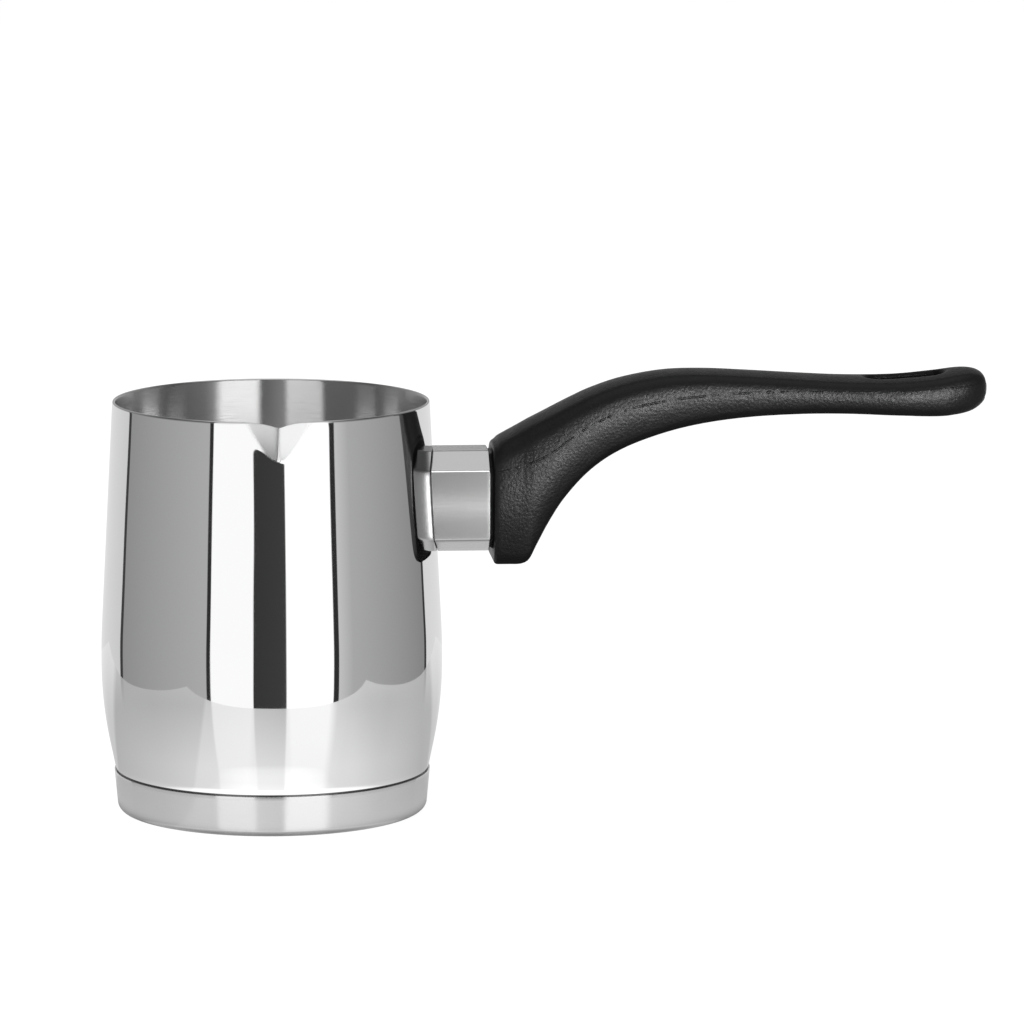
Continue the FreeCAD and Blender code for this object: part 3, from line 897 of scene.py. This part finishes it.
def handle_plastic():
    """Black phenolic: a fine spark-eroded grain, and the mould's parting line along each side."""
    material, tree, shader, place = metal("handle_plastic", (0.005, 0.005, 0.0052), 0.4)
    shader.inputs["Metallic"].default_value = 0
    shader.inputs["IOR"].default_value = 1.26
    grain = noise(tree, place, 1300, detail=3, roughness=0.65)
    patches = noise(tree, place, 170, detail=2)
    pebble = tree.nodes.new("ShaderNodeTexVoronoi")
    pebble.inputs["Scale"].default_value = 1200
    tree.links.new(place, pebble.inputs["Vector"])
    both = math_node(tree, "ADD", grain, math_node(tree, "MULTIPLY", pebble.outputs["Distance"], 0.5))
    worn = blended(tree, grain, patches, 0.4)
    tree.links.new(remap(tree, worn, 0.28, 0.42, 0.35, 0.65), shader.inputs["Roughness"])
    ridge = bump(tree, parting_height(tree, place), 0.00009)
    tree.links.new(bump(tree, both, 0.00008, normal=ridge), shader.inputs["Normal"])
    return material


# ---------------------------------------------------------------- studio

# The light tent's cards: from and to, in degrees round from the front, and the brightness at each
# end. At the object's own height the cards are white or grey paper with black gaps.
TENT_CARDS = [
    (-180, -124.5, 0.82, 0.66),
    (-124, -121, 0.05, 0.05),
    (-120.5, -46.2, 0.30, 0.45),
    (-45.8, -43.4, 0.03, 0.03),
    (-43, -15, 1.1, 1.1),
    (-14.5, 6.3, 0.04, 0.05),
    (6.9, 38.3, 1.2, 1.2),
    (38.8, 42, 0.03, 0.03),
    (42.5, 52, 0.6, 0.45),
    (52, 120.5, 0.44, 0.26),
    (121, 123.5, 0.04, 0.04),
    (124, 180, 0.74, 0.82),
]
# Above the rim the two front cards stay bright and the rest are dim.
TENT_HIGH_CARDS = [
    (-180, -90, 0.4, 0.1),
    (-90, -43.5, 0.1, 0.13),
    (-42.5, -15, 0.72, 0.8),
    (-14, 6, 0.25, 0.1),
    (7, 36, 1.15, 1.15),
    (42, 50, 0.3, 0.17),
    (50, 82, 0.17, 0.08),
    (92, 180, 0.13, 0.4),
]
# Far below the table's height it is plain grey paper.
TENT_LOW_CARDS = [(-180, 180, 0.3, 0.3)]
TENT_RINGS = [
    (-1.5, TENT_LOW_CARDS), (-0.4, TENT_LOW_CARDS), (-0.35, TENT_CARDS), (0.072, TENT_CARDS),
    (0.2, TENT_HIGH_CARDS), (0.85, TENT_HIGH_CARDS),
]
TENT_RADIUS = 0.9

# The table that only reflections see, its glow painted light as if the same cards lit it: first near
# the pot, then at its edge, where it is as bright as the tent behind if that is white.
TABLE_CARDS = [
    (-180, -128, 0.95, 0.92),
    (-122, -44, 0.7, 0.95),
    (-42, 40, 1.04, 1.03),
    (46, 105, 1.0, 0.67),
    (105, 122, 0.67, 0.72),
    (128, 180, 0.92, 0.95),
]
TABLE_EDGE_CARDS = [
    (-180, -128, 1.3, 1.25),
    (-122, -44, 0.8, 1.0),
    (-42, -15, 1.25, 1.25),
    (-12, 6, 1.02, 1.02),
    (8, 44, 1.2, 1.25),
    (50, 121, 1.2, 0.87),
    (126, 180, 1.25, 1.3),
]
# The shade under the pot: distance from its axis, and the share of light left there.
TABLE_SHADE = [(0.034, 0.15), (0.0405, 0.35), (0.047, 1.0)]
# How far the table reaches each way, and how far and how widely its front edge bows out.
TABLE_LEFT, TABLE_RIGHT, TABLE_FRONT, TABLE_BACK = -0.209, 0.225, -0.138, 0.24
TABLE_BOW, TABLE_BOW_WIDTH = 0.030, 0.11
TABLE_Z = -0.0002
BACKDROP_RADIUS, BACKDROP_HEIGHT = 7.5, 7.0


def emission(name, color, strength):
    """A material that only gives light."""
    material = bpy.data.materials.new(name)
    material.use_nodes = True
    tree = material.node_tree
    tree.nodes.clear()
    glow = tree.nodes.new("ShaderNodeEmission")
    glow.inputs["Color"].default_value = (*color, 1)
    glow.inputs["Strength"].default_value = strength
    out = tree.nodes.new("ShaderNodeOutputMaterial")
    tree.links.new(glow.outputs["Emission"], out.inputs["Surface"])
    return material, tree, glow, out


def card_tone(cards, angle):
    """The brightness of the cards in a direction, blending over any gap between two of them."""
    ends = [point for start, end, first, last in cards for point in ((start, first), (end, last))]
    return value_at(ends, angle)


def painted(name, verts, faces, tones):
    """A stage surface, unseen by the camera, that glows as bright as each of its corners says."""
    piece = new_mesh(name, verts, faces)
    layer = piece.data.color_attributes.new("tone", "FLOAT_COLOR", "POINT")
    for item, value in zip(layer.data, tones):
        item.color = (value, value, value, 1)
    material, tree, glow, out = emission(name, (1, 1, 1), 1)
    read = tree.nodes.new("ShaderNodeAttribute")
    read.attribute_name = "tone"
    tree.links.new(read.outputs["Color"], glow.inputs["Color"])
    piece.data.materials.append(material)
    piece.visible_camera = False
    piece.visible_shadow = False
    return piece, tree, glow, out


def tent():
    """The paper tent round the object."""
    count = 1440
    verts, faces, tones = [], [], []
    for i in range(count):
        angle = -180 + 360 * i / count
        x, y = math.sin(math.radians(angle)), -math.cos(math.radians(angle))
        for height, cards in TENT_RINGS:
            verts.append((x * TENT_RADIUS, y * TENT_RADIUS, height))
            tones.append(card_tone(cards, angle))
    rings = len(TENT_RINGS)
    for i in range(count):
        j = (i + 1) % count
        for ring in range(rings - 1):
            here, there = i * rings + ring, j * rings + ring
            faces.append((here, there, there + 1, here + 1))
    painted("tent", verts, faces, tones)


def table_edge(x, y):
    """How far the table reaches in a direction, given as a unit vector."""
    reach = (TABLE_RIGHT if x > 0 else TABLE_LEFT) / x if abs(x) > 1e-6 else 1e6
    if y > 0:
        return min(reach, TABLE_BACK / y)
    front = 1e6
    for _ in range(8):
        bow = TABLE_BOW * math.exp(-((min(front, 1) * x / TABLE_BOW_WIDTH) ** 2))
        front = (TABLE_FRONT - bow) / min(y, -1e-6)
    return min(reach, front)


def table():
    """The glazed table under the pot: white from above, and more of a mirror at a low angle."""
    count = 720
    verts, faces, tones = [(0.0, 0.0, TABLE_Z)], [], [TABLE_SHADE[0][1]]
    rings = len(TABLE_SHADE) + 2
    for i in range(count):
        angle = -180 + 360 * i / count
        x, y = math.sin(math.radians(angle)), -math.cos(math.radians(angle))
        tone = card_tone(TABLE_CARDS, angle)
        row = [(reach, tone * share) for reach, share in TABLE_SHADE]
        edge, edge_tone = table_edge(x, y), card_tone(TABLE_EDGE_CARDS, angle)
        row += [(edge * 0.6, tone + (edge_tone - tone) * 0.6), (edge, edge_tone)]
        for reach, brightness in row:
            verts.append((x * reach, y * reach, TABLE_Z))
            tones.append(brightness)
    for i in range(count):
        here, there = 1 + rings * i, 1 + rings * ((i + 1) % count)
        faces.append((0, here, there))
        for ring in range(rings - 1):
            faces.append((here + ring, here + ring + 1, there + ring + 1, there + ring))
    piece, tree, glow, out = painted("table", verts, faces, tones)
    facing = tree.nodes.new("ShaderNodeLayerWeight").outputs["Facing"]
    level, steep = remap(tree, facing, 1.5, 1.0, 0.4, 0.455), remap(tree, facing, 0.45, 1.0, 0.08, 0.3)
    tree.links.new(math_node(tree, "MULTIPLY", level, steep), glow.inputs["Strength"])
    glaze = tree.nodes.new("ShaderNodeBsdfGlossy")
    glaze.inputs["Roughness"].default_value = 0.08
    mix = tree.nodes.new("ShaderNodeMixShader")
    tree.links.new(remap(tree, facing, 0.25, 0.6, 0.45, 0.85), mix.inputs["Fac"])
    tree.links.new(glow.outputs["Emission"], mix.inputs[1])
    tree.links.new(glaze.outputs["BSDF"], mix.inputs[2])
    tree.links.new(mix.outputs["Shader"], out.inputs["Surface"])
    return piece


def floor_and_backdrop():
    """The pale floor and the white backdrop all round it, which only the camera sees."""
    count = 96
    radius = BACKDROP_RADIUS
    ring = [(radius * math.cos(a), radius * math.sin(a)) for a in even_angles(count)]
    ground = new_mesh("floor", [(x, y, 0) for x, y in ring], [tuple(range(count))])
    material, tree, glow, out = emission("floor", (1, 1, 1), 0.93)
    matte = tree.nodes.new("ShaderNodeBsdfDiffuse")
    matte.inputs["Color"].default_value = (0.25, 0.25, 0.25, 1)
    both = tree.nodes.new("ShaderNodeAddShader")
    tree.links.new(glow.outputs["Emission"], both.inputs[0])
    tree.links.new(matte.outputs["BSDF"], both.inputs[1])
    tree.links.new(both.outputs["Shader"], out.inputs["Surface"])
    ground.data.materials.append(material)
    walls = [(x, y, z) for z in (0, BACKDROP_HEIGHT) for x, y in ring]
    faces = [(i, (i + 1) % count, count + (i + 1) % count, count + i) for i in range(count)]
    backdrop = new_mesh("backdrop", walls, faces)
    backdrop.data.materials.append(emission("backdrop", (1, 1, 1), 0.98)[0])
    for piece in (ground, backdrop):
        piece.visible_glossy = False
        piece.visible_diffuse = False
        piece.visible_shadow = False


def ceiling():
    """A dim ceiling over everything, with a bright panel straight overhead."""
    world = bpy.data.worlds.new("studio")
    bpy.context.scene.world = world
    world.use_nodes = True
    background = world.node_tree.nodes["Background"]
    background.inputs["Color"].default_value = (1, 1, 1, 1)
    tree = world.node_tree
    split = tree.nodes.new("ShaderNodeSeparateXYZ")
    direction = tree.nodes.new("ShaderNodeTexCoord").outputs["Generated"]
    tree.links.new(direction, split.inputs["Vector"])
    panel = remap(tree, split.outputs["Z"], 0.1, 0.85, 0.8, 0.95)
    tree.links.new(panel, background.inputs["Strength"])


def camera():
    """The camera, on the object's front left and a little above it."""
    azimuth, elevation = math.radians(CAMERA_AZIMUTH), math.radians(CAMERA_ELEVATION)
    back = Vector((
        math.sin(azimuth) * math.cos(elevation),
        -math.cos(azimuth) * math.cos(elevation),
        math.sin(elevation),
    ))
    data = bpy.data.cameras.new("camera")
    data.lens = CAMERA_LENS
    data.sensor_width = CAMERA_SENSOR
    data.clip_end = 30
    rig = bpy.data.objects.new("camera", data)
    rig.location = CAMERA_TARGET + back * CAMERA_DISTANCE
    turn = (-back).to_track_quat("-Z", "Y").to_matrix().to_4x4()
    roll = Matrix.Rotation(math.radians(CAMERA_ROLL), 4, "Z")
    rig.matrix_world = Matrix.Translation(rig.location) @ turn @ roll
    bpy.context.scene.collection.objects.link(rig)
    bpy.context.scene.camera = rig


def shine_on(source, *pieces):
    """Lets a light or a glowing surface light only these pieces."""
    lit = bpy.data.collections.new(source.name)
    for piece in pieces:
        lit.objects.link(piece)
    source.light_linking.receiver_collection = lit


def soft_light(name, place, aim, width, height, power, only=None):
    """A soft rectangular light, in metres and watts, that may be meant for one piece only."""
    data = bpy.data.lights.new(name, "AREA")
    data.energy = power
    data.shape = "RECTANGLE"
    data.size, data.size_y = width, height
    light = bpy.data.objects.new(name, data)
    light.location = place
    light.rotation_mode = "QUATERNION"
    light.rotation_quaternion = (Vector(aim) - Vector(place)).to_track_quat("-Z", "Y")
    light.visible_glossy = only is not None
    bpy.context.scene.collection.objects.link(light)
    if only:
        shine_on(light, only)


def lights(guard, grip):
    """A key light for everything, and a few small reflectors for the handle and its guard."""
    soft_light("key", (-0.5, -0.8, 0.9), (0, 0, 0.05), 0.9, 0.6, 6)
    soft_light("grip_front", (0.4, -0.75, 0.15), (0.14, 0, 0.1), 0.6, 0.11, 10, grip)
    soft_light("guard_front", (0.115, -0.8, -0.043), (0.05, -0.01, 0.082), 0.7, 0.04, 0.18, guard)
    soft_light("guard_top", (0.06, 0.05, 0.5), (0.05, 0, 0.09), 0.4, 0.4, 0.19, guard)
    soft_light("guard_back", (0.12, 0.9, 0.24), (0.05, 0, 0.095), 0.5, 0.25, 0.35, guard)
    soft_light("guard_side", (0.44, -0.58, -0.02), (0.045, -0.011, 0.08), 0.1, 0.3, 0.45, guard)
    soft_light("guard_edge", (0.07, -0.55, 0.62), (0.05, -0.011, 0.091), 0.4, 0.25, 1.2, guard)
    soft_light("guard_under", (0.056, 0.03, 0.006), (0.053, 0.0, 0.07), 0.05, 0.05, 0.004, guard)


# ---------------------------------------------------------------- assembly

def stand_in(piece, node_name, slot, *materials):
    """Lets a detailed piece stand for its CAD node."""
    for material in materials:
        piece.data.materials.append(material)
    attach(piece, BODY)
    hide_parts(node_name)


def inside_material(piece):
    """Gives the faces inside the shell its second material, and the joint groove's faces the third,
    whose dark colour is painted shade.
    """
    for face in piece.data.polygons:
        centre = face.center / MM
        reach = math.hypot(centre.x, centre.y)
        looks_in = face.normal.x * centre.x + face.normal.y * centre.y < 0
        on_floor = centre.z > FLOOR_Z + SHEET / 2 and face.normal.z > 0.5 and reach < BELLY_R - 8
        if (looks_in and centre.z > JOINT_TOP_Z + 0.5 and centre.z < POT_HEIGHT - 0.2) or on_floor:
            face.material_index = 1
        # The joint groove's faces get the dark third material: painted shade.
        if JOINT_FOOT_Z < centre.z < JOINT_TOP_Z + 0.02 and reach < JOINT_R + 1 and not looks_in:
            face.material_index = 2


def dress(node_name, material):
    """Gives a CAD node a better material."""
    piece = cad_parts[node_name]
    piece.data.materials.clear()
    piece.data.materials.append(material)


bpy.context.scene.view_settings.view_transform = "Standard"
camera()
ceiling()
tent()
glazed_table = table()
floor_and_backdrop()

shell = pot_shell()
stand_in(shell, "pot_shell", "polished_steel", polished_steel(), brushed_inside(), seam_painted_shade())
inside_material(shell)
cap = base_cap()
stand_in(cap, "base_cap", "brushed_steel", brushed_cap())
guard = flame_guard()
stand_in(guard, "flame_guard_sleeve", "satin_steel", satin_steel())
grip = handle()
stand_in(grip, "handle_grip", "handle_plastic", handle_plastic())
lights(guard, grip)
shine_on(glazed_table, shell, cap, guard)

zinc = plain_metal("zinc_steel", (0.62, 0.64, 0.67), 0.28, 900)
dress("heat_spreader_disc", plain_metal("aluminium_core", (0.77, 0.78, 0.79), 0.42, 500))
dress("handle_bracket", plain_metal("plain_steel", (0.55, 0.55, 0.55), 0.38, 700))
for small_part in ("bracket_nut", "handle_screw", "spring_washer", "flat_washer"):
    dress(small_part, zinc)
